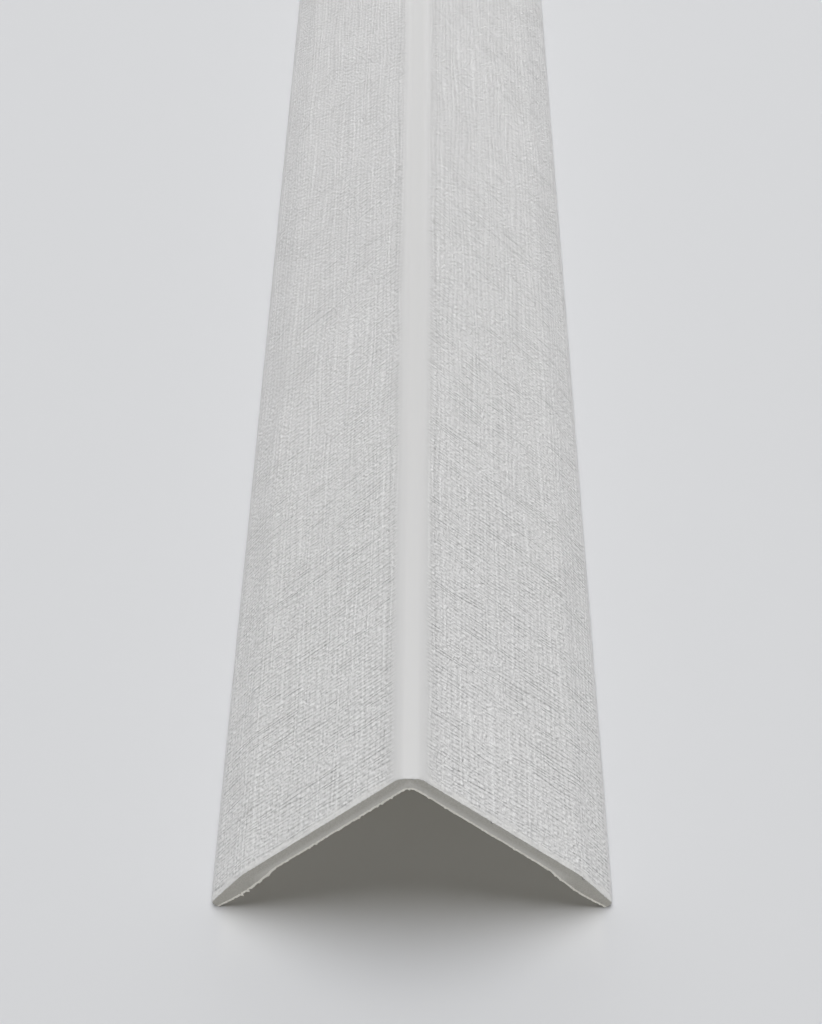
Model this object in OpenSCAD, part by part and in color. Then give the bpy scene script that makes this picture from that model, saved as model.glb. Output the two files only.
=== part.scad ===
// Corner angle of extruded PVC for a wall's outside corner, one length of stock.
// Two equal legs meet at 90 degrees in a rounded nose. Towards its free edge each leg
// bends in a little and swells into a rounded lip. The angle lies on both lips like a
// small roof.

/* [Section] */
// Width of each leg, from the other leg's outer face to its own tip
leg_w = 30; // [18:1:80]
// Thickness of the flat part of both legs
wall_t = 1.5; // [1:0.1:2]
// Outer radius of the rounded nose
nose_r = 2.5; // [2.2:0.1:5]

/* [Lip] */
// How much deeper than the flat inner face the lip is at its crest
lip_swell = 0.6; // [0.4:0.1:0.9]
// How far the inner face has fallen back from the crest at the tip
lip_fall = 0.2; // [0.1:0.05:0.3]
// Radius of the rounded tip
tip_r = 0.5; // [0.4:0.05:0.6]
// Distance of the outer face's bend from the tip
bend_len = 6; // [5:0.5:8]
// Radius of that bend
bend_r = 8; // [2:1:12]
// Distance of the crest from the tip
crest_len = 3.6; // [3:0.2:4.4]
// Radius of the hollow curve between the flat inner face and the crest
blend_r = 5; // [3:1:10]

/* [Stock] */
// Length of the piece, which is sawn square at both ends
length = 1000; // [100:50:3000]

/* [Hidden] */
$fn = 240;

// In the section, s runs along a leg's outer face from the sharp corner that the two
// outer faces would make, and d runs inwards from that face.
crest_t = wall_t + lip_swell;
tip_s = leg_w - tip_r;
tip_d = crest_t - lip_fall - tip_r;

// The lip's two flanks touch a circle that is this much smaller than the tip's own,
// so the tip overlaps them and each joint is one clean edge. The curves that ease a
// flat face into its neighbour are larger by the same amount.
overlap = 0.001;
touch_r = tip_r - overlap;

// Outer flank: a flat face that leaves the leg's own at the bend and touches the tip.
bend_s = leg_w - bend_len;
bend_angle = atan2(tip_d, tip_s - bend_s) - asin(touch_r / norm([tip_s - bend_s, tip_d]));
bend_cut = bend_r * tan(bend_angle / 2);
bend_start = bend_s - bend_cut;
bend_end = bend_s + bend_cut * cos(bend_angle);
outer_touch = [tip_s + touch_r * sin(bend_angle), tip_d - touch_r * cos(bend_angle)];

// Inner flank: a large circle that is deepest at the crest and touches the tip.
crest_s = leg_w - crest_len;
crest_run = tip_s - crest_s;
tip_rise = crest_t - tip_d;
crest_r = (pow(crest_run, 2) + pow(tip_rise, 2) - pow(touch_r, 2)) / (2 * (tip_rise - touch_r));
crest_d = crest_t - crest_r;
touch_share = touch_r / (crest_r - touch_r);
inner_touch = [tip_s + touch_share * crest_run, tip_d + touch_share * (tip_d - crest_d)];

// The blend's circle touches the flat inner face and the crest's circle from outside.
blend_span = crest_r + blend_r;
blend_run = sqrt(pow(blend_span, 2) - pow(blend_span - lip_swell, 2));
blend_s = crest_s - blend_run;
blend_d = wall_t + blend_r;
meet_s = blend_s + blend_run * blend_r / blend_span;
meet_d = wall_t + lip_swell * blend_r / blend_span;

// Height of the sharp outer corner above the floor that the tips rest on.
apex_h = (tip_s + tip_d) / sqrt(2) + tip_r;

module disc(s, d, r) {
  translate([s, d]) circle(r);
}

// Quarter ring that joins the legs, with the wall's thickness all the way round.
module nose() {
  intersection() {
    square(nose_r);
    difference() {
      disc(nose_r, nose_r, nose_r);
      disc(nose_r, nose_r, nose_r - wall_t);
    }
  }
}

module wall() {
  polygon([[nose_r, 0], [bend_start, 0], [bend_start, wall_t], [nose_r, wall_t]]);
}

// Sliver that rounding the bend takes off its sharp outer edge.
module bend_sliver() {
  difference() {
    translate([bend_start, -tip_r]) square([bend_end - bend_start, 2 * tip_r]);
    disc(bend_start, bend_r, bend_r + overlap);
  }
}

// Swelled edge. Its outline follows the outer face to the tip and comes back clear of
// the inner flank, which the crest's circle cuts.
module lip() {
  difference() {
    intersection() {
      disc(crest_s, crest_d, crest_r);
      polygon([
        [blend_s, 0],
        [bend_s, 0],
        outer_touch,
        inner_touch,
        [blend_s, 2 * crest_t],
      ]);
    }
    bend_sliver();
  }
  disc(tip_s, tip_d, tip_r);
}

// Hollow curve that eases the flat inner face into the crest.
module blend() {
  difference() {
    polygon([[blend_s, 0], [meet_s, 0], [meet_s, meet_d], [blend_s, wall_t]]);
    disc(blend_s, blend_d, blend_r + overlap);
  }
}

module leg() {
  wall();
  lip();
  blend();
}

module section() {
  nose();
  leg();
  mirror([1, -1]) leg();
}

// The length runs along Y, with the nose up and both lips on the floor.
module corner_angle() {
  color("whitesmoke")
    translate([0, length / 2, apex_h])
      rotate([90, 0, 0])
        linear_extrude(length)
          rotate(-135) section();
}

corner_angle();
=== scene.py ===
# %% [markdown]
# A corner angle is a strip of PVC that covers the outside corner of a wall. It comes out
# of an extruder as an endless angle, an embossing roller presses a linen pattern into each
# leg while it is warm, and a saw cuts it to length. This script dresses the plain CAD angle
# in what those three steps leave: exact curves, a linen relief and a rough cut.

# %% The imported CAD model
import math

import bmesh
import bpy
from mathutils import Matrix, Vector, noise


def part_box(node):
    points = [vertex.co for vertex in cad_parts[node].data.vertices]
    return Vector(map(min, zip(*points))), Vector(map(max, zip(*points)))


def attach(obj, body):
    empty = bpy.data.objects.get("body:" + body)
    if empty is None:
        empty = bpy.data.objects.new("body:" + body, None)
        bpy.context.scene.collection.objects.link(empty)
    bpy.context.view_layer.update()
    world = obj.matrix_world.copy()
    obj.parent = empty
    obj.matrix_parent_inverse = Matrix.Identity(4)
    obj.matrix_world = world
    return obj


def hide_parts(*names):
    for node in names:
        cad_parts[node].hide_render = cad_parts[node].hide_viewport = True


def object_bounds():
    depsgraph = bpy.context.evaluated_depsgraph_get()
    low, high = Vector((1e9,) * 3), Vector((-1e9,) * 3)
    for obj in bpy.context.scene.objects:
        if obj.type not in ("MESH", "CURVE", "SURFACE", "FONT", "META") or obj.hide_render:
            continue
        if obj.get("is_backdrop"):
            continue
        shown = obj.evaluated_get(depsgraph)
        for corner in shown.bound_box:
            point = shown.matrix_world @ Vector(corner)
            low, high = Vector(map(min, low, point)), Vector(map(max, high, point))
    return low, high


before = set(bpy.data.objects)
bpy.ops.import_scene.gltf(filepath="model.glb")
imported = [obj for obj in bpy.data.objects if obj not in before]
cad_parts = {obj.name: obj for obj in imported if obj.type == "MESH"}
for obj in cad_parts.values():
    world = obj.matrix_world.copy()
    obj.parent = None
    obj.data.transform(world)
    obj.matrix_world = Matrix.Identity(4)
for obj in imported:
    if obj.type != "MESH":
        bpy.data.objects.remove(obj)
cad_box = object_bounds()
low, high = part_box("corner_angle")
print("CAD box in mm:", [round(c * 1000, 2) for c in (*low, *high)])

# %% [markdown]
# The photographer stood over the sawn front end and looked down along the nose, so the
# legs run together towards the top of the picture. The three angles turn the camera away
# from looking level along the trim: down, a touch sideways, and a touch of tilt. The
# focal length is given in pixels, as it was measured in the picture.

# %% Camera
PICTURE = (822, 1024)
FOCAL_PX = 1870.6
SENSOR = 36.0
NEAREST, FARTHEST = 0.005, 20.0


def make_camera(place, down, aside, tilt):
    data = bpy.data.cameras.new("camera")
    data.sensor_width = SENSOR
    data.lens = FOCAL_PX / max(PICTURE) * SENSOR
    data.clip_start, data.clip_end = NEAREST, FARTHEST
    camera = bpy.data.objects.new("camera", data)
    turn = (
        Matrix.Rotation(math.radians(aside), 3, "Z")
        @ Matrix.Rotation(math.radians(90 - down), 3, "X")
        @ Matrix.Rotation(math.radians(tilt), 3, "Z")
    )
    camera.matrix_world = Matrix.Translation(place) @ turn.to_4x4()
    bpy.context.scene.collection.objects.link(camera)
    bpy.context.scene.camera = camera
    return camera


over_the_end = Vector((0.00226, low.y - 0.10607, 0.16261))
camera = make_camera(over_the_end, down=44.94, aside=0.99, tilt=-0.71)
print("camera at", [round(c, 4) for c in camera.location], "lens", round(camera.data.lens, 1))

# %% [markdown]
# The section is drawn like a toolmaker's path for the extrusion die: straight runs and
# arcs that meet without a corner. Each arc is one bmesh spin about its centre, so the
# curves are as fine as we like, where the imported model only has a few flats.

# %% A pen that draws straight runs and arcs
MM = 0.001


class Pen:
    """Draws a chain of edges in the plane of the section, seen from the front."""

    def __init__(self, bm, height):
        self.bm = bm
        self.tip = bm.verts.new((0.0, 0.0, height * MM))
        self.way = Vector((1.0, 0.0, 0.0))
        self.edges = []

    def run(self, length, pieces):
        step = self.way * (length * MM / pieces)
        for _ in range(pieces):
            made = bmesh.ops.extrude_vert_indiv(self.bm, verts=[self.tip])
            self.tip = made["verts"][0]
            self.edges += made["edges"]
            bmesh.ops.translate(self.bm, verts=[self.tip], vec=step)

    def arc(self, radius, angle, pieces, side=1):
        """side is 1 for a curve to the right and -1 for one to the left."""
        right = Vector((self.way.z, 0.0, -self.way.x))
        before = set(self.bm.edges)
        made = bmesh.ops.spin(
            self.bm,
            geom=[self.tip],
            cent=self.tip.co + right * (side * radius * MM),
            axis=(0.0, 1.0, 0.0),
            angle=side * angle,
            steps=pieces,
        )
        self.tip = made["geom_last"][0]
        self.edges += [e for e in self.bm.edges if e not in before]
        self.way = Matrix.Rotation(side * angle, 3, "Y") @ self.way


# %% [markdown]
# Each leg is flat, bends in a little near its free edge and swells into a rounded lip.
# The sizes are the part's own, in millimetres. The angles follow from the rule that each
# curve leaves its neighbour in the same direction.

# %% Sizes of the legs and lips
LEG, WALL, NOSE = 30.0, 1.5, 2.5
SWELL, FALL, TIP = 0.6, 0.2, 0.5
BEND_LEN, BEND = 6.0, 8.0
CREST_LEN, BLEND = 3.6, 5.0

tip_along, tip_deep = LEG - TIP, WALL + SWELL - FALL - TIP
apex = (tip_along + tip_deep) / math.sqrt(2) + TIP
flank_line = math.hypot(tip_along - LEG + BEND_LEN, tip_deep)
bend_turn = math.atan2(tip_deep, tip_along - LEG + BEND_LEN) - math.asin(TIP / flank_line)
bend_cut = BEND * math.tan(bend_turn / 2)
crest_run, crest_drop = tip_along - LEG + CREST_LEN, FALL + TIP
crest = (crest_run**2 + crest_drop**2 - TIP**2) / (2 * (crest_drop - TIP))
fall_turn = math.asin(crest_run / (crest - TIP))
swell_turn = math.acos(1 - SWELL / (crest + BLEND))
swell_run = (crest + BLEND) * math.sin(swell_turn)
tip_turn = (math.pi - bend_turn - fall_turn) / 2
print("apex", round(apex, 3), "bend", round(math.degrees(bend_turn), 2))
print("crest radius", round(crest, 2), "tip turn", round(math.degrees(tip_turn), 1))

# %% [markdown]
# The real nose is a touch flatter on top than a plain quarter circle, with a tighter
# shoulder on each side, so it gets a short flat. UNDER keeps the flat a hair below the
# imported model's top, whose own flats cut its curve short.

# %% Sizes of the nose
NOSE_FLAT, UNDER = 1.0, 0.008

inner_top = apex - NOSE * (math.sqrt(2) - 1) - WALL
nose_top = inner_top + WALL - UNDER
nose_drop = apex - nose_top
shoulder = (nose_drop - NOSE_FLAT / 2) / math.tan(math.pi / 8)
shoulder_end = nose_drop * math.sqrt(2) + nose_drop - NOSE_FLAT / 2
print("nose top", round(nose_top, 3), "shoulder radius", round(shoulder, 3))

# %% [markdown]
# One pen draws the outer face from the middle of the nose to the tip of the lip, and
# another the inner face. Both take the same number of steps, so bridging the two chains
# fills the wall with neat quads. A mirror makes the other leg.

# %% Section
OUTER_STEPS = {"flat": 3, "shoulder": 11, "leg": 150, "bend": 9, "flank": 35, "tip": 8}
INNER_STEPS = {"corner": 14, "leg": 130, "blend": 6, "crest": 58, "tip": 8}
SAME_PLACE, SAME_MIDDLE = 1e-6, 1e-7


def draw_section(bm):
    steps = OUTER_STEPS
    outer = Pen(bm, nose_top)
    outer.run(NOSE_FLAT / 2, steps["flat"])
    outer.arc(shoulder, math.pi / 4, steps["shoulder"])
    outer.run(LEG - BEND_LEN - bend_cut - shoulder_end, steps["leg"])
    outer.arc(BEND, bend_turn, steps["bend"])
    outer.run(math.sqrt(flank_line**2 - TIP**2) - bend_cut, steps["flank"])
    outer.arc(TIP, tip_turn, steps["tip"])
    steps = INNER_STEPS
    inner = Pen(bm, inner_top)
    inner.arc(NOSE - WALL, math.pi / 4, steps["corner"])
    inner.run(LEG - CREST_LEN - swell_run - NOSE, steps["leg"])
    inner.arc(BLEND, swell_turn, steps["blend"])
    inner.arc(crest, swell_turn + fall_turn, steps["crest"], side=-1)
    inner.arc(TIP, tip_turn, steps["tip"], side=-1)
    print("tip gap in mm:", round((outer.tip.co - inner.tip.co).length / MM, 5))
    bmesh.ops.bridge_loops(bm, edges=outer.edges + inner.edges)
    bmesh.ops.remove_doubles(bm, verts=bm.verts, dist=SAME_PLACE)
    everything = bm.verts[:] + bm.edges[:] + bm.faces[:]
    bmesh.ops.mirror(bm, geom=everything, axis="X", merge_dist=SAME_MIDDLE)


print("steps outside and inside:", sum(OUTER_STEPS.values()), sum(INNER_STEPS.values()))
trim_bm = bmesh.new()
draw_section(trim_bm)
print("section:", len(trim_bm.verts), "vertices,", len(trim_bm.faces), "faces")

# %% [markdown]
# The filled section is extruded along the trim in one go. A few cuts across it near each
# end give the ends something to bend. It is also cut at every half turn of the embossing
# roller, because the folded map below starts a new panel there. In between it stays as
# plain strips, so the mesh is light.

# %% Stock
ROLLER = 125.0
STRIP = 2.2
END_CUTS = (0.24, 0.36, 0.5, 0.7, 1.0, 1.5, STRIP, 3.4)


def extrude_stock(bm):
    front = bm.faces[:]
    bmesh.ops.translate(bm, verts=bm.verts, vec=(0.0, low.y, 0.0))
    made = bmesh.ops.extrude_face_region(bm, geom=front)["geom"]
    back = [g for g in made if isinstance(g, bmesh.types.BMVert)]
    bmesh.ops.translate(bm, verts=back, vec=(0.0, high.y - low.y, 0.0))
    bmesh.ops.recalc_face_normals(bm, faces=bm.faces)


def cut_across(bm):
    cuts = [low.y + c * MM for c in END_CUTS] + [high.y - c * MM for c in END_CUTS]
    half_turns = round((high.y - low.y) / MM / ROLLER * 2)
    cuts += [low.y + k * ROLLER / 2 * MM for k in range(1, half_turns)]
    for y in cuts:
        everything = bm.verts[:] + bm.edges[:] + bm.faces[:]
        plane = {"plane_co": (0, y, 0), "plane_no": (0, 1, 0)}
        bmesh.ops.bisect_plane(bm, geom=everything, dist=SAME_PLACE, **plane)
    return len(cuts)


extrude_stock(trim_bm)
print("cuts across:", cut_across(trim_bm))
print("stock:", len(trim_bm.verts), "vertices,", len(trim_bm.faces), "faces")

# %% [markdown]
# Wear and burr follow the edges of the wall, so each point is first placed on its leg:
# how far it is from the corner along the outer face, and how deep behind that face.

# %% Places on a leg
def leg_place(co):
    """Distance along the leg's outer face and depth behind it, both in millimetres."""
    x, z = abs(co.x) / MM, apex - co.z / MM
    return (z + x) / math.sqrt(2), (z - x) / math.sqrt(2)


def depths(co):
    """How far a point is from the inner and from the outer face, in millimetres."""
    along, deep = leg_place(co)
    if along < NOSE and deep < NOSE:
        from_centre = math.hypot(along - NOSE, deep - NOSE)
        return from_centre - NOSE + WALL, NOSE - from_centre
    outer = max(0.0, along - LEG + BEND_LEN) * math.tan(bend_turn)
    lip = along - LEG + CREST_LEN
    inner = WALL + SWELL - crest + math.sqrt(max(crest**2 - lip**2, 0.0))
    return max(WALL, inner) - deep, deep - outer


middle_of_wall = Vector((0.0, low.y, (inner_top + WALL / 2) * MM))
print("depths in the middle of the nose:", [round(d, 2) for d in depths(middle_of_wall)])

# %% [markdown]
# The burr needs faces of its own. Three insets, one inside the other, put narrow rings
# round each cut face. Those that lie on the inner edge become the burr.

# %% Faces of the cut
EMBOSSED, PLAIN, SAWN, BURR = 0, 1, 2, 3
RINGS = (0.4, 0.18, 0.05)
BURR_WIDE = 0.17


def end_faces(bm, end_y):
    return [f for f in bm.faces if all(abs(v.co.y - end_y) < SAME_PLACE for v in f.verts)]


def ring_the_cut(bm, end_y):
    for width in RINGS:
        bmesh.ops.inset_region(
            bm,
            faces=end_faces(bm, end_y),
            thickness=width * MM,
            use_even_offset=True,
            use_boundary=True,
        )
    for face in end_faces(bm, end_y):
        on_inner_edge = depths(face.calc_center_median())[0] < BURR_WIDE
        face.material_index = BURR if on_inner_edge else SAWN


# %% [markdown]
# A saw doesn't tear plastic evenly. Noise that is stretched to some length and cut off at
# nought and one gives clean stretches with rough ones between, and two sizes multiplied
# give small teeth in clumps. The saw tore the left leg most, near its lip.

# %% Uneven edges
TOOTHED, TOOTHED_TEAR = (20.5, 27.5), 1.8
TEAR, TEAR_LEFT = 0.55, 0.05
TURN_IN = 0.8
STRETCH, SIDES_APART = 0.9, 7.0


def clamp(value):
    return min(1.0, max(0.0, value))


def fade(distance, reach):
    """1 at no distance, and 0 from the reach on."""
    return clamp(1.0 - distance / reach)


class CutPoint:
    """A point near a cut: where it is, in millimetres, and how hard the saw tore there."""

    def __init__(self, co, away, seed):
        self.away, self.seed = away, seed
        self.along = leg_place(co)[0]
        self.side = 1.0 if co.x > 0 else -1.0
        self.from_inner, self.from_outer = depths(co)
        aside = clamp(abs(co.x) / MM / TURN_IN)
        self.into = Vector((-self.side * aside, 0.0, -1.0)).normalized()
        self.clump = self.ragged(0.32, 5.0) ** 2 * self.ragged(1.9, 9.0)
        toothed = self.side < 0 and TOOTHED[0] < self.along < TOOTHED[1]
        self.torn = TOOTHED_TEAR if toothed else TEAR - TEAR_LEFT * self.side

    def ragged(self, size, other=0.0):
        """Noise from 0 to 1 with teeth of this size. Another number gives other teeth."""
        place = Vector((self.along / size, SIDES_APART * self.side, self.seed + other))
        return clamp(0.5 + STRETCH * noise.noise(place))


# %% [markdown]
# Each mark of the saw moves the points near its own edge and fades out along the trim. The
# corners of the lips are worn in, the outer edge is chipped, and a thin burr is pushed over
# the inner edge into the hollow of the angle.

# %% Marks at the edges
WORN, WORN_UP, WORN_LONG, WORN_WIDE = 0.14, 0.35, 2.4, 1.5
CHIP_LEAST, CHIP_MORE, CHIP_DEEP, CHIP_LONG = 0.02, 0.42, 0.08, 0.5
BURR_LEAST, BURR_MORE, BURR_DEEP, BURR_LONG = 0.02, 0.38, 0.25, 0.7
NO_BURR, BURR_ENDS = 0.9, 0.8


def worn_corner(p):
    worn = clamp((p.along - LEG + WORN_WIDE) / WORN_WIDE) * fade(p.away, WORN_LONG) ** 2
    return Vector((-p.side, 0.0, WORN_UP)) * (WORN * worn)


def chipped_edge(p):
    fine = p.ragged(0.3) * p.ragged(1.7, 2.0)
    chip = (CHIP_LEAST + CHIP_MORE * fine**2) * fade(p.from_outer, CHIP_DEEP)
    return p.into * (chip * fade(p.away, CHIP_LONG))


def burr_lump(p):
    lump = BURR_LEAST + BURR_MORE * p.clump * p.torn
    lump *= fade(abs(p.from_inner), BURR_DEEP) * clamp((LEG - NO_BURR - p.along) / BURR_ENDS)
    return p.into * (lump * fade(p.away, BURR_LONG) ** 2)


# %% [markdown]
# The burr also stands proud. The stock has its full length there, and the face of the cut
# lies back from it, behind an uneven rim. Where the burr is clean it lies back a little too.

# %% Marks on the face of the cut
PROUD, PROUD_WIDE, SLOPE = 0.2, 0.05, 0.33
CLEAN_BACK, CLEAN_WIDE, CLEAN_BELOW = 0.2, 0.3, 0.5
RIM, RIM_UNEVEN = (0.3, 0.45), 0.1


def set_back(p, inward):
    back = PROUD * clamp((p.from_inner - PROUD_WIDE) / SLOPE)
    back += CLEAN_BACK * max(0.0, CLEAN_BELOW - p.clump) * fade(p.from_inner, CLEAN_WIDE)
    return Vector((0.0, inward * back, 0.0))


def uneven_rim(p):
    uneven = p.ragged(0.5, 3.0) - 0.5 if RIM[0] < p.from_inner < RIM[1] else 0.0
    return p.into * (RIM_UNEVEN * p.torn * uneven)


# %% [markdown]
# All marks go onto both ends. Each end has a seed of its own, so the two cuts differ, and
# the noise is fixed, so every run gives the same ones.

# %% Rough cut
ROUGH_LENGTH, ON_CUT = 3.0, 0.01


def roughen_end(bm, end_y, seed):
    ring_the_cut(bm, end_y)
    inward = -math.copysign(1.0, end_y)
    for v in bm.verts:
        away = abs(v.co.y - end_y) / MM
        if away > ROUGH_LENGTH:
            continue
        p = CutPoint(v.co, away, seed)
        step = worn_corner(p) + chipped_edge(p) + burr_lump(p)
        if away < ON_CUT:
            step += set_back(p, inward) + uneven_rim(p)
        v.co += step * MM


for end_y, seed in ((low.y, 1.0), (high.y, 5.0)):
    roughen_end(trim_bm, end_y, seed)
    cut = [f.calc_center_median().y for f in trim_bm.faces if f.material_index in (SAWN, BURR)]
    back = max(high.y - abs(y) for y in cut) / MM
    print("end at", round(end_y, 3), "m: cut lies back up to", round(back, 3), "mm")

# %% [markdown]
# Four finishes show on the one piece: the embossed outside, the plain inside that only
# passed through the die, the sawn ends, and the burr along their inner edge. The cut faces
# have theirs already, and every other face gets its finish by the way it looks. Where two
# faces meet at a corner, the edge is marked sharp, so that smooth shading doesn't round it.

# %% Finishes by face
CORNER_ANGLE = 25


def finish_of(face):
    side = 1.0 if face.calc_center_median().x > 0 else -1.0
    return PLAIN if face.normal.dot(Vector((-side, 0.0, -1.0))) > 0 else EMBOSSED


for face in trim_bm.faces:
    face.smooth = True
    if face.material_index not in (SAWN, BURR):
        face.material_index = finish_of(face)
for edge in trim_bm.edges:
    if len(edge.link_faces) == 2 and edge.calc_face_angle() > math.radians(CORNER_ANGLE):
        edge.smooth = False
print("sharp edges:", sum(not edge.smooth for edge in trim_bm.edges))

# %% [markdown]
# The finish may also be baked into one square image for other programs, where a metre of
# linen would get one pixel a millimetre. The linen repeats with every turn of its roller,
# though, so the trim is folded up: each half turn of it lies on one of two panels, which
# hold the pattern at thirteen pixels a millimetre. The right leg is half a turn behind the
# left one, so the two legs share the panels. The inside has a narrower panel, and the worn
# strips by the cuts and the cut faces have rows of their own.

# %% Layout of the folded map
MAP_PX, PX_PER_MM, GAP = 1024, 13.5, 6.0
HALF_TURN = ROLLER / 2
PANEL = 31.0 * PX_PER_MM
COLUMNS = (GAP / 2, PANEL + 1.5 * GAP)
INSIDE, INSIDE_PX_PER_MM = 2 * PANEL + 2.5 * GAP, 5.5
STRIP_ROWS, CUT_ROWS = (856.0, 892.0), (928.0, 970.0)
ROUND_TIP, MIDDLE_OF_LEG = 0.7, 15.0

print("panels of", round(PANEL), "by", round(HALF_TURN * PX_PER_MM), "pixels")


# %% Folded map
def spot(corner, finish, left, back, half_turn):
    """Where a corner of a face lies on the map, in pixels."""
    along, deep = leg_place(corner)
    y = (corner.y - low.y) / MM
    if finish in (SAWN, BURR):
        return COLUMNS[left] + along * PX_PER_MM, CUT_ROWS[back] + (deep + 0.1) * PX_PER_MM
    outward = 1 if along > MIDDLE_OF_LEG and finish == EMBOSSED else -1
    wide = along + ROUND_TIP * deep * outward
    if finish == PLAIN:
        y -= half_turn // 2 * ROLLER
        return INSIDE + wide * INSIDE_PX_PER_MM, GAP / 2 + y * PX_PER_MM / 2
    if half_turn is None:
        from_cut = (high.y - low.y) / MM - y if back else y
        return COLUMNS[left] + wide * PX_PER_MM, STRIP_ROWS[back] + from_cut * PX_PER_MM
    y -= half_turn * HALF_TURN
    return COLUMNS[(half_turn + left) % 2] + wide * PX_PER_MM, GAP / 2 + y * PX_PER_MM


fold = trim_bm.loops.layers.uv.new("OFBake")
widest = [0.0, 0.0]
for face in trim_bm.faces:
    middle = face.calc_center_median()
    half_turn = math.floor((middle.y - low.y) / MM / HALF_TURN)
    near_cut = high.y - abs(middle.y) < STRIP * MM
    if near_cut and face.material_index == EMBOSSED:
        half_turn = None
    for loop in face.loops:
        left, back = middle.x < 0, middle.y > 0
        u, v = spot(loop.vert.co, face.material_index, left, back, half_turn)
        loop[fold].uv = u / MAP_PX, v / MAP_PX
        widest = [max(widest[0], u), max(widest[1], v)]
print("map used up to", [round(c) for c in widest], "of", MAP_PX, "pixels")

# %% [markdown]
# The mesh becomes one object, which stays at the origin. The patterns below read the
# object's own coordinates, so they lie where they should.

# %% The piece
mesh = bpy.data.meshes.new("corner_angle_trim")
trim_bm.to_mesh(mesh)
trim = bpy.data.objects.new("corner_angle_trim", mesh)
bpy.context.scene.collection.objects.link(trim)
counts = [sum(p.material_index == k for p in mesh.polygons) for k in range(4)]
print("faces embossed, plain, sawn, burr:", counts)

# %% [markdown]
# A material is a small machine of nodes. This helper adds nodes and joins them, so that
# the cells below can be read as formulas. A Mix node has sockets for numbers, vectors and
# colours side by side, and the four numbers pick the ones for colours.

# %% Node helper
MIX_SHARE, MIX_A, MIX_B, MIX_RESULT = 0, 6, 7, 2


class Wiring:
    def __init__(self, tree):
        self.tree = tree

    def add(self, kind, **settings):
        node = self.tree.nodes.new(kind)
        for name, value in settings.items():
            setattr(node, name, value)
        return node

    def feed(self, socket, value):
        if isinstance(value, bpy.types.NodeSocket):
            self.tree.links.new(value, socket)
        else:
            socket.default_value = value

    def math(self, operation, *values):
        node = self.add("ShaderNodeMath", operation=operation)
        for socket, value in zip(node.inputs, values):
            self.feed(socket, value)
        return node.outputs[0]

    def times(self, first, *others):
        for value in others:
            first = self.math("MULTIPLY", first, value)
        return first

    def scale(self, value, from_low, from_high, to_low=0.0, to_high=1.0):
        """Carries one range over to another, easing in and out."""
        node = self.add("ShaderNodeMapRange", interpolation_type="SMOOTHSTEP")
        names = ("Value", "From Min", "From Max", "To Min", "To Max")
        for name, part in zip(names, (value, from_low, from_high, to_low, to_high)):
            self.feed(node.inputs[name], part)
        return node.outputs["Result"]

    def point(self, x, y, z):
        node = self.add("ShaderNodeCombineXYZ")
        for socket, value in zip(node.inputs, (x, y, z)):
            self.feed(socket, value)
        return node.outputs[0]

    def noise(self, vector, detail=0.0):
        node = self.add("ShaderNodeTexNoise")
        self.feed(node.inputs["Vector"], vector)
        self.feed(node.inputs["Scale"], 1.0)
        self.feed(node.inputs["Detail"], detail)
        return node.outputs["Fac"]

    def mix(self, share, a, b):
        node = self.add("ShaderNodeMix", data_type="RGBA")
        self.feed(node.inputs[MIX_SHARE], share)
        self.feed(node.inputs[MIX_A], a)
        self.feed(node.inputs[MIX_B], b)
        return node.outputs[MIX_RESULT]

    def group(self, tree, **values):
        node = self.add("ShaderNodeGroup", node_tree=tree)
        for name, value in values.items():
            self.feed(node.inputs[name], value)
        return node.outputs


# %% [markdown]
# The linen and the die lines show in more than one finish, so each is a node group, made
# once and placed where it is needed. A group is a tree of its own with named sockets.

# %% Group helper
def new_group(name, inputs, outputs):
    tree = bpy.data.node_groups.new(name, "ShaderNodeTree")
    for label in inputs:
        tree.interface.new_socket(label, in_out="INPUT", socket_type="NodeSocketFloat")
    for label in outputs:
        tree.interface.new_socket(label, in_out="OUTPUT", socket_type="NodeSocketFloat")
    wiring = Wiring(tree)
    return wiring, wiring.add("NodeGroupInput").outputs, wiring.add("NodeGroupOutput").inputs


# %% [markdown]
# The linen comes off an engraved roller, so it repeats once a turn. The length along the
# trim is wrapped round a circle of the roller's size before any noise is read: after one
# turn the noise is back where it began.

# %% Noise off a roller
class RollerNoise:
    def __init__(self, w, across, along):
        self.w, self.across = w, across
        turned = w.times(along, 2 * math.pi / ROLLER)
        radius = ROLLER / (2 * math.pi)
        self.ring_y = w.times(w.math("COSINE", turned), radius)
        self.ring_z = w.times(w.math("SINE", turned), radius)

    def cloth(self, size_across, size_along, seed, detail=0.0):
        """Soft spots of this size in millimetres, across the leg and along the trim."""
        x = self.w.math("MULTIPLY_ADD", self.across, 1 / size_across, seed)
        y = self.w.times(self.ring_y, 1 / size_along)
        z = self.w.times(self.ring_z, 1 / size_along)
        return self.w.noise(self.w.point(x, y, z), detail)

    def of_weft(self, thread, size, apart, seed):
        """Noise of a crosswise thread's own, which changes over this size along it."""
        x, y = self.w.times(self.across, 1 / size), self.w.times(thread, apart)
        return self.w.noise(self.w.point(x, y, seed))

    def of_warp(self, thread, size, apart, seed=0.0):
        """The same for a lengthwise thread, which runs round the roller."""
        y = self.w.times(self.ring_y, 1 / size)
        z = self.w.math("MULTIPLY_ADD", self.ring_z, 1 / size, seed)
        return self.w.noise(self.w.point(self.w.times(thread, apart), y, z))


# %% [markdown]
# Weft threads run across the leg and warp threads along it. Counting them is what makes
# linen look woven: the whole part of a count says which thread a point is on, and a sine
# of it rises over each thread and changes sign from one to the next. Noise added to the
# count lets the threads wander. WEFT is a whole number of threads round the roller, so the
# last one meets the first.

# %% Threads
WEFT, WARP = 256, 0.75


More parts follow.
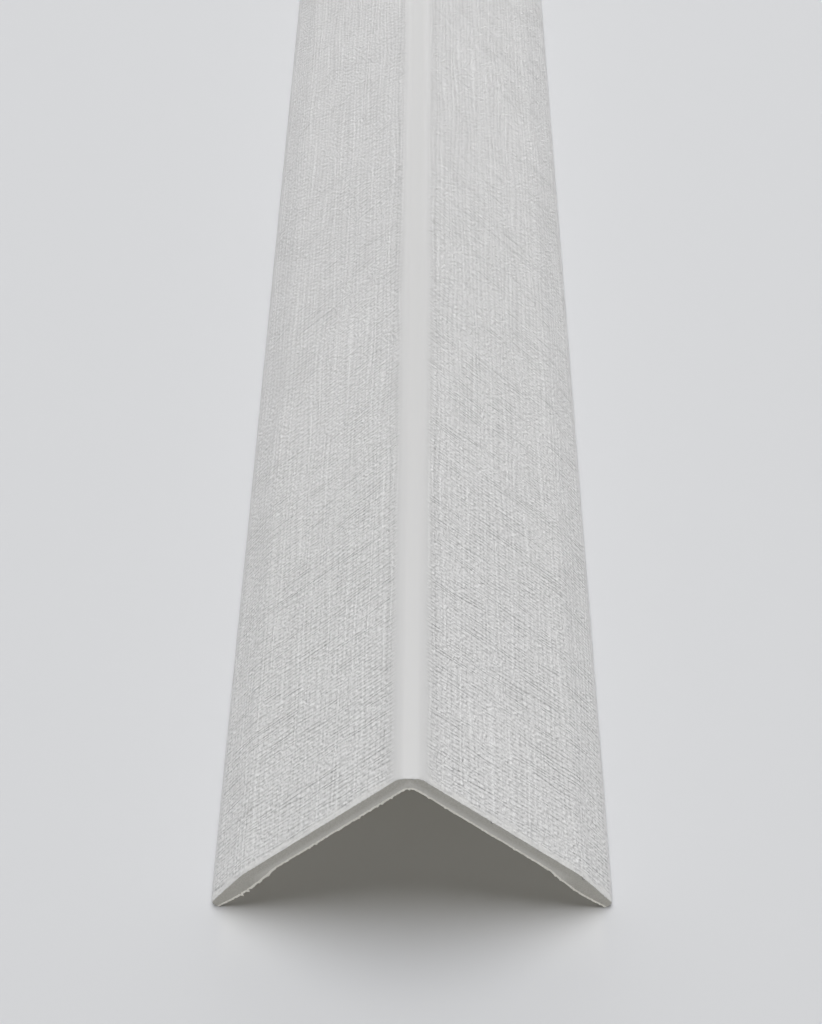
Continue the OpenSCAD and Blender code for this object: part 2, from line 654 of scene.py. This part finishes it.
class Thread:
    def __init__(self, w, count):
        self.number = w.math("FLOOR", count)
        self.wave = w.math("SINE", w.times(count, math.pi))
        self.body = w.math("ABSOLUTE", self.wave)
        self.gap = w.math("SUBTRACT", 1.0, self.body)


def lay_threads(w, off_roller, across, along):
    slow = w.times(off_roller.cloth(9.0, 4.0, 13.1), 0.7)
    sway = w.math("MULTIPLY_ADD", off_roller.cloth(5.0, 0.9, 3.3), 1.4, slow)
    weft = Thread(w, w.math("MULTIPLY_ADD", along, WEFT / ROLLER, sway))
    weft.number = w.math("FLOORED_MODULO", weft.number, float(WEFT))
    slow = w.times(off_roller.cloth(3.0, 16.0, 18.7), 1.2)
    sway = w.math("MULTIPLY_ADD", off_roller.cloth(1.1, 20.0, 8.1), 1.3, slow)
    warp = Thread(w, w.math("MULTIPLY_ADD", across, 1 / WARP, sway))
    return weft, warp


print("thread pitch", round(ROLLER / WEFT, 3), "by", WARP, "mm")

# %% [markdown]
# No two threads of flax are alike. Each gets a strength that is its own and changes along
# it, and patches of cloth press in deeper than others. A few single threads stand out: a
# weft that left a crease, and a warp that left a fine ridge.

# %% Strength of the threads
def strengthen(w, off_roller, weft, warp):
    weft.patch = w.scale(off_roller.cloth(3.5, 3.0, 21.7), 0.34, 0.64, 0.75, 1.05)
    warp.patch = w.scale(off_roller.cloth(2.5, 5.0, 40.9), 0.36, 0.66, 0.78, 1.0)
    own = off_roller.of_weft(weft.number, 2.5, apart=7.31, seed=0.5)
    weft.strength = w.times(weft.patch, w.scale(own, 0.3, 0.7, 0.5, 1.1))
    own = off_roller.of_warp(warp.number, 8.0, apart=5.17)
    warp.strength = w.times(warp.patch, w.scale(own, 0.3, 0.7, 0.35, 1.0))


def single_threads(w, off_roller, weft, warp):
    own = off_roller.of_weft(weft.number, 5.0, apart=3.77, seed=9.5)
    crease = w.times(w.scale(own, 0.58, 0.72), w.math("POWER", weft.gap, 2.0))
    own = off_roller.of_warp(warp.number, 14.0, apart=4.43, seed=5.0)
    ridge = w.times(w.scale(own, 0.54, 0.67), w.math("POWER", warp.body, 9.0))
    return crease, ridge


# %% [markdown]
# In a plain weave each thread goes over the next one and under the one after. The product
# of the two waves says which is on top. The heights are in millimetres, and they are small:
# the roller presses hardly more than a tenth of a millimetre deep. Two fine noises, each
# stretched a little along its own threads, break the rows up into beads.

# %% Height of the cloth
WEFT_HIGH, WARP_HIGH = 0.115, 0.044
CREASE_DEEP, RIDGE_HIGH, FIBRE_HIGH = 0.045, 0.022, 0.1
OVER, LEVEL, SUNK = 0.3, 0.5, -0.32


def cloth_height(w, off_roller, weft, warp, weave, crease, ridge):
    parts = []
    for thread, over, size in ((weft, OVER, WEFT_HIGH), (warp, -OVER, WARP_HIGH)):
        lift = w.math("MULTIPLY_ADD", weave, over, LEVEL)
        form = w.math("MULTIPLY_ADD", thread.body, lift, SUNK)
        parts.append(w.times(thread.strength, form, size))
    relief = w.math("ADD", *parts)
    relief = w.math("MULTIPLY_ADD", crease, -CREASE_DEEP, relief)
    relief = w.math("MULTIPLY_ADD", ridge, RIDGE_HIGH, relief)
    weft_fibre = off_roller.cloth(0.42, 0.26, 60.0)
    warp_fibre = off_roller.cloth(0.24, 0.36, 75.0)
    return w.math("MULTIPLY_ADD", w.math("ADD", weft_fibre, warp_fibre), FIBRE_HIGH, relief)


# %% [markdown]
# Bump alone looks washed out, because it doesn't hold back any light from the gaps between
# the threads, and it doesn't light up the crests, which the roller also polished. So there
# are masks that say where the grooves and the crests are, and a finish paints shade into the
# grooves and a highlight onto the crests.

# %% Grooves and crests
def cloth_grooves(w, weft, warp, crease):
    warp_gaps = w.times(warp.gap, warp.gap, warp.strength)
    weft_gaps = w.times(weft.gap, weft.gap)
    gaps = w.math("MULTIPLY_ADD", weft_gaps, weft.strength, warp_gaps)
    pits = w.times(weft.gap, warp.gap, weft.patch, 1.6)
    return w.math("ADD", w.math("MULTIPLY_ADD", gaps, 0.3, crease), pits)


def cloth_crests(w, weft, weave, ridge):
    return w.math("MAXIMUM", ridge, w.scale(w.times(weave, weft.strength), 0.42, 0.9))


# %% [markdown]
# One group puts all of this together. Besides the relief, the grooves and the crests it
# gives a fine grain and slow clouds of tone, because no plastic is quite one colour.

# %% Linen group
def build_linen():
    outputs = ("Relief", "Groove", "Crest", "Grain", "Clouds")
    w, given, out = new_group("linen relief", ("Across", "Along"), outputs)
    off_roller = RollerNoise(w, given["Across"], given["Along"])
    weft, warp = lay_threads(w, off_roller, given["Across"], given["Along"])
    strengthen(w, off_roller, weft, warp)
    weave = w.times(weft.wave, warp.wave)
    crease, ridge = single_threads(w, off_roller, weft, warp)
    w.feed(out["Relief"], cloth_height(w, off_roller, weft, warp, weave, crease, ridge))
    # The Groove mask carries painted shade and the Crest mask a painted highlight.
    w.feed(out["Groove"], cloth_grooves(w, weft, warp, crease))
    w.feed(out["Crest"], cloth_crests(w, weft, weave, ridge))
    w.feed(out["Grain"], w.scale(off_roller.cloth(0.34, 0.3, 90.0), 0.25, 0.75))
    w.feed(out["Clouds"], w.scale(off_roller.cloth(14.0, 40.0, 31.0, 2.0), 0.3, 0.7))
    return w.tree


linen = build_linen()
print("linen relief:", len(linen.nodes), "nodes")

# %% [markdown]
# The die leaves hair-fine lines along the whole trim. Noise that only knows the place
# across the leg gives lines that never end. They show on the nose and on the inside, and
# lie under the linen, which is pressed in afterwards.

# %% Die lines
FINE_LINES, FINE_HIGH = 3.2, 0.006
BROAD_LINES, BROAD_HIGH = 0.9, 0.012


def build_die_lines():
    w, given, out = new_group("die lines", ("Across",), ("Relief",))
    fine = w.noise(w.point(w.times(given["Across"], FINE_LINES), 0.0, 0.0), 1.0)
    broad = w.noise(w.point(w.times(given["Across"], BROAD_LINES), 0.0, 4.0))
    w.feed(out["Relief"], w.math("MULTIPLY_ADD", fine, FINE_HIGH, w.times(broad, BROAD_HIGH)))
    return w.tree


die_lines = build_die_lines()
print("die lines:", len(die_lines.nodes), "nodes")

# %% [markdown]
# Every finish starts from the same place: how far a point is from the nose across the leg,
# and how far along the trim. Both come from the object's own coordinates, in millimetres.

# %% Start of a finish
class Finish:
    def __init__(self, name, roughness):
        self.material = bpy.data.materials.new(name)
        self.material.use_nodes = True
        self.w = w = Wiring(self.material.node_tree)
        self.shader = self.material.node_tree.nodes["Principled BSDF"]
        self.shader.inputs["Roughness"].default_value = roughness
        place = w.add("ShaderNodeSeparateXYZ")
        w.feed(place.inputs[0], w.add("ShaderNodeTexCoord").outputs["Object"])
        self.x, self.y, self.z = (w.times(place.outputs[k], 1 / MM) for k in range(3))
        from_apex = w.math("SUBTRACT", w.math("ADD", w.math("ABSOLUTE", self.x), apex), self.z)
        self.across = w.times(from_apex, math.sqrt(0.5))

    def colour(self, value):
        self.w.feed(self.shader.inputs["Base Color"], value)

    def bump(self, relief):
        node = self.w.add("ShaderNodeBump")
        self.w.feed(node.inputs["Height"], relief)
        self.w.feed(node.inputs["Distance"], MM)
        self.w.feed(self.shader.inputs["Normal"], node.outputs[0])


# %% [markdown]
# The roller doesn't reach the nose or the last millimetre of the lip, and next to the cut
# the saw has rubbed the linen down. These three masks say where it shows. The place of the
# worn line wanders, because noise is taken off the distance from the end.

# %% Where the linen shows
LINEN_STARTS = (1.8, 3.4)
LINEN_ENDS = (29.0, 29.8)
WORN_LINE, WORN_WANDER, WORN_SHARE = (-0.3, 0.5), 1.6, 0.6


def linen_masks(finish):
    w, x, y = finish.w, finish.x, finish.y
    from_end = w.math("SUBTRACT", high.y / MM, w.math("ABSOLUTE", y))
    uneven = w.noise(w.point(w.times(x, 0.9), 0.0, w.times(y, 0.9)))
    wandering = w.math("MULTIPLY_ADD", uneven, -WORN_WANDER, from_end)
    worn = w.scale(wandering, *WORN_LINE, 1.0, 0.0)
    off_nose = w.scale(finish.across, *LINEN_STARTS)
    off_tip = w.scale(finish.across, *LINEN_ENDS, 1.0, 0.0)
    unworn = w.math("MULTIPLY_ADD", worn, -WORN_SHARE, 1.0)
    return w.times(off_nose, off_tip, unworn), worn, off_nose


# %% [markdown]
# The embossed outside is an off-white satin PVC. The legs are painted paler than the nose,
# to make up for the shade in their relief, so the colour changes from the smooth nose to the
# linen. On top of it come a fine grain, painted shade in the grooves, a painted highlight on
# the polished crests and the pale line that the saw rubbed along the cut.

# %% Embossed finish
# The linen's colour is painted paler than that of the nose and the smooth band beside it, to
# make up for the shade in its relief.
PVC, CLOUDY_PVC = (0.781, 0.776, 0.773), 0.98
PLAIN_PVC, NOSE_PVC = (0.638, 0.635, 0.632, 1), (0.653, 0.651, 0.648, 1)
PLAIN_ENDS, NOSE_ENDS = (2.2, 4.6), (1.6, 2.2)
GRAIN_DARK, GRAIN_SHARE = (0.52, 0.52, 0.515, 1), 0.3
# Painted shade for the grooves between the threads, and a painted highlight for the crests.
GROOVE_SHADE_PAINTED, GROOVE_SHADE_SHARE = (0.35, 0.35, 0.34, 1), 0.3
CREST_HIGHLIGHT_PAINTED, CREST_HIGHLIGHT_SHARE = (0.84, 0.84, 0.835, 1), 0.65
CUT_PALE, CUT_SHARE = (0.76, 0.755, 0.735, 1), 0.65
ROUGH_GROOVE, SMOOTH_CREST, FULL_HEIGHT = 0.5, 0.38, 0.12


def embossed_finish():
    finish = Finish("embossed pvc", 0.42)
    w, across = finish.w, finish.across
    half_turn = w.times(w.math("LESS_THAN", finish.x, 0.0), HALF_TURN)
    threads = w.group(linen, Across=across, Along=w.math("ADD", finish.y, half_turn))
    lines = w.group(die_lines, Across=across)
    shown, worn, off_nose = linen_masks(finish)
    finish.bump(w.math("ADD", w.times(threads["Relief"], shown), lines["Relief"]))
    cloudy = tuple(CLOUDY_PVC * part for part in PVC)
    colour = w.mix(threads["Clouds"], (*cloudy, 1), (*PVC, 1))
    colour = w.mix(w.times(threads["Grain"], GRAIN_SHARE), colour, GRAIN_DARK)
    # The smooth band and the nose get darker colours than the legs, which are painted paler for
    # the shade in their relief.
    colour = w.mix(w.scale(across, *PLAIN_ENDS), PLAIN_PVC, colour)
    colour = w.mix(w.scale(across, *NOSE_ENDS), NOSE_PVC, colour)
    # Painted shade in the grooves, then a painted highlight on the crests.
    colour = w.mix(w.times(threads["Groove"], shown, GROOVE_SHADE_SHARE), colour, GROOVE_SHADE_PAINTED)
    colour = w.mix(w.times(threads["Crest"], shown, CREST_HIGHLIGHT_SHARE), colour, CREST_HIGHLIGHT_PAINTED)
    finish.colour(w.mix(w.times(worn, off_nose, CUT_SHARE), colour, CUT_PALE))
    roughness = w.scale(threads["Relief"], 0.0, FULL_HEIGHT, ROUGH_GROOVE, SMOOTH_CREST)
    w.feed(finish.shader.inputs["Roughness"], roughness)
    return finish.material


# %% [markdown]
# The inside has only met the die. It is smooth, with die lines and faint clouds where the
# plastic was warmer, and no linen.

# %% Plain finish
PLAIN_DARK, PLAIN_PALE = (0.68, 0.675, 0.655, 1), (0.72, 0.715, 0.70, 1)


def plain_finish():
    finish = Finish("plain pvc", 0.45)
    w = finish.w
    finish.bump(w.group(die_lines, Across=finish.across)["Relief"])
    clouds = w.group(linen, Across=finish.across, Along=finish.y)["Clouds"]
    finish.colour(w.mix(clouds, PLAIN_DARK, PLAIN_PALE))
    return finish.material


# %% [markdown]
# The teeth of the saw draw strokes along the wall and leave crumbs, and the fresh cut is
# rougher and greyer than the skin. The wall is paler towards its inner edge, where light
# comes through from behind, and that effect ends where the lip gets thick.

# %% Sawn finish
SAWN_DARK, SAWN_PALE = (0.58, 0.563, 0.505, 1), (0.66, 0.64, 0.59, 1)
LIT_THROUGH = (0.88, 0.865, 0.82, 1)
LIT_DEPTH, LIT_ALONG, LIT_SHARE = (0.7, 1.35), (21.0, 25.0), 0.6
STROKES_LONG, STROKES_FINE, CRUMBS = 1.2, 7.0, 6.0
STROKE_HIGH, CRUMB_HIGH = 0.05, 0.07


def sawn_finish():
    finish = Finish("sawn pvc", 0.7)
    w, x, y, z = finish.w, finish.x, finish.y, finish.z
    down, over = w.math("ADD", x, z), w.math("SUBTRACT", x, z)
    stroke_place = w.point(w.times(down, STROKES_LONG), y, w.times(over, STROKES_FINE))
    strokes = w.noise(stroke_place, 2.0)
    crumbs = w.noise(w.point(w.times(x, CRUMBS), y, w.times(z, CRUMBS)), 2.0)
    finish.bump(w.math("ADD", w.times(strokes, STROKE_HIGH), w.times(crumbs, CRUMB_HIGH)))
    colour = w.mix(w.scale(crumbs, 0.3, 0.7), SAWN_DARK, SAWN_PALE)
    deep = w.math("SUBTRACT", finish.across, w.times(w.math("ABSOLUTE", x), math.sqrt(2)))
    thin = w.times(w.scale(deep, *LIT_DEPTH), w.scale(finish.across, *LIT_ALONG, LIT_SHARE, 0.0))
    finish.colour(w.mix(thin, colour, LIT_THROUGH))
    return finish.material


# %% [markdown]
# The burr is so thin that light shines through it, and it shows as a pale line against the
# dark under the trim. Its colour is paler than the wall's, partly from the whitening of the
# torn plastic and partly as painted light for what shines through. Carrying that light through
# the wall would take far more time than it shows, so a faint glow stands for the rest of it.

# %% Burr finish
BURR_DARK, BURR_PALE = (0.85, 0.83, 0.77, 1), (0.97, 0.955, 0.90, 1)
BURR_GLOW = (0.085, 0.080, 0.066, 1)
BURR_CRUMBS, BURR_CRUMB_HIGH = 5.0, 0.15


def burr_finish():
    finish = Finish("burr pvc", 0.6)
    w = finish.w
    place = w.point(*(w.times(part, BURR_CRUMBS) for part in (finish.x, finish.y, finish.z)))
    crumbs = w.noise(place, 1.0)
    finish.bump(w.times(crumbs, BURR_CRUMB_HIGH))
    # The pale colour is partly the torn plastic's own whitening and partly painted light.
    finish.colour(w.mix(w.scale(crumbs, 0.3, 0.7), BURR_DARK, BURR_PALE))
    # A faint painted glow stands for the light that shines through the burr.
    finish.shader.inputs["Emission Color"].default_value = BURR_GLOW
    finish.shader.inputs["Emission Strength"].default_value = 1.0
    return finish.material


for make in (embossed_finish, plain_finish, sawn_finish, burr_finish):
    mesh.materials.append(make())
print("finishes:", [material.name for material in mesh.materials])

# %% [markdown]
# The trim lies on a sheet of pale, slightly bluish paper that reaches past the picture on
# all sides. Under the trim the paper is lit a little by what comes through the thin wall.
# A faint warm glow stands for that too, and fades out at the lips and at the ends.

# %% Floor
PAPER, PAPER_ROUGH, PAPER_GLOSS = (0.705, 0.712, 0.727, 1.0), 0.95, 0.1
THROUGH_WALL, WARM = 0.05, (1.06, 0.98, 0.76)
UNDER_LIPS, UNDER_ENDS = (0.0185, 0.0200), (0.498, 0.509)


def floor_paper():
    material = bpy.data.materials.new("floor paper")
    material.use_nodes = True
    w = Wiring(material.node_tree)
    shader = material.node_tree.nodes["Principled BSDF"]
    shader.inputs["Base Color"].default_value = PAPER
    shader.inputs["Roughness"].default_value = PAPER_ROUGH
    shader.inputs["Specular IOR Level"].default_value = PAPER_GLOSS
    place = w.add("ShaderNodeSeparateXYZ")
    w.feed(place.inputs[0], w.add("ShaderNodeTexCoord").outputs["Object"])
    beside = w.scale(w.math("ABSOLUTE", place.outputs["X"]), *UNDER_LIPS, 1.0, 0.0)
    beyond = w.scale(w.math("ABSOLUTE", place.outputs["Y"]), *UNDER_ENDS, 1.0, 0.0)
    glow = w.times(beside, beyond, THROUGH_WALL)
    warm = w.add("ShaderNodeCombineColor")
    for socket, share in zip(warm.inputs, WARM):
        w.feed(socket, w.times(glow, share))
    w.feed(shader.inputs["Emission Color"], warm.outputs[0])
    shader.inputs["Emission Strength"].default_value = 1.0
    return material


floor_mesh = bpy.data.meshes.new("floor")
floor_bm = bmesh.new()
bmesh.ops.create_grid(floor_bm, x_segments=1, y_segments=1, size=5.0)
floor_bm.to_mesh(floor_mesh)
floor_bm.free()
floor_mesh.materials.append(floor_paper())
floor = bpy.data.objects.new("floor", floor_mesh)
bpy.context.scene.collection.objects.link(floor)
floor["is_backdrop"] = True
print("floor", floor.dimensions.x, "m wide")

# %% [markdown]
# The studio's walls throw back some light from low down, more of it from behind the trim
# than from its sides, and that is what grades the floor and draws the edges of the lips.
# It is painted on the world by the direction one looks in. The camera sees plain paper.

# %% Light from the walls
BACKDROP = (0.66, 0.67, 0.685, 1.0)
BAND_TOP, BAND_LEAST = (0.35, 0.65), 0.1
BAND_FRONT, BAND_BACK = 0.46, 1.35
RIM_TOP, RIM_LEVEL, RIM_BACK, RIM_SIDES = (0.08, 0.20), 0.85, 2.8, 0.75
HIGH_BACK = 0.25


def make_world():
    world = bpy.data.worlds.new("studio")
    world.use_nodes = True
    w = Wiring(world.node_tree)
    way = w.add("ShaderNodeSeparateXYZ")
    w.feed(way.inputs[0], w.add("ShaderNodeTexCoord").outputs["Generated"])
    x, y, z = way.outputs
    along = w.times(y, y, w.scale(y, -1.0, 1.0, BAND_FRONT, BAND_BACK))
    band = w.times(w.math("ADD", along, BAND_LEAST), w.scale(z, *BAND_TOP, 1.0, 0.0))
    back = w.math("MAXIMUM", y, 0.0)
    rim = w.math("MULTIPLY_ADD", w.times(back, back), RIM_BACK, w.times(x, x, RIM_SIDES))
    rim = w.times(rim, w.scale(z, *RIM_TOP, RIM_LEVEL, 0.0))
    behind = w.times(back, w.scale(z, *BAND_TOP, 0.0, HIGH_BACK))
    sky = w.math("ADD", w.math("ADD", band, rim), behind)
    background = world.node_tree.nodes["Background"]
    seen = w.add("ShaderNodeLightPath").outputs["Is Camera Ray"]
    w.feed(background.inputs["Color"], w.mix(seen, sky, BACKDROP))
    bpy.context.scene.world = world
    return world


print("world:", len(make_world().node_tree.nodes), "nodes")

# %% [markdown]
# One large softbox hangs over the front end, a little behind it. It is oval, wider than
# deep, which gives the soft wide shadow in front of the trim. Its power is worked out from
# its size and distance, so that a white sheet turned to it at the front end would show the
# level that is asked for.

# %% Softbox
def make_softbox(distance, back, right, half_angle, stretch, level):
    radius = distance * math.tan(math.radians(half_angle))
    data = bpy.data.lights.new("softbox", "AREA")
    data.shape = "ELLIPSE"
    data.size, data.size_y = 2 * radius * stretch, 2 * radius / stretch
    data.energy = level / math.sin(math.radians(half_angle)) ** 2 * (math.pi * radius) ** 2
    lamp = bpy.data.objects.new("softbox", data)
    way = Vector((math.tan(math.radians(right)), math.tan(math.radians(back)), 1.0)).normalized()
    lamp.location = Vector((0.0, low.y, 0.0)) + way * distance
    lamp.rotation_euler = way.to_track_quat("Z", "Y").to_euler()
    bpy.context.scene.collection.objects.link(lamp)
    print("softbox", round(2 * radius, 2), "m across,", round(data.energy, 1), "W")


make_softbox(distance=1.9, back=12, right=1.0, half_angle=25, stretch=1.15, level=0.775)
bpy.context.scene.view_settings.view_transform = "Standard"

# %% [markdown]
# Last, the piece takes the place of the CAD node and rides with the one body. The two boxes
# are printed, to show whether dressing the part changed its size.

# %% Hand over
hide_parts("corner_angle")
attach(trim, "root")
dressed_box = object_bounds()
for name, box in (("CAD", cad_box), ("dressed", dressed_box)):
    print(name, "box in mm:", [round(v / MM, 3) for corner in box for v in corner])
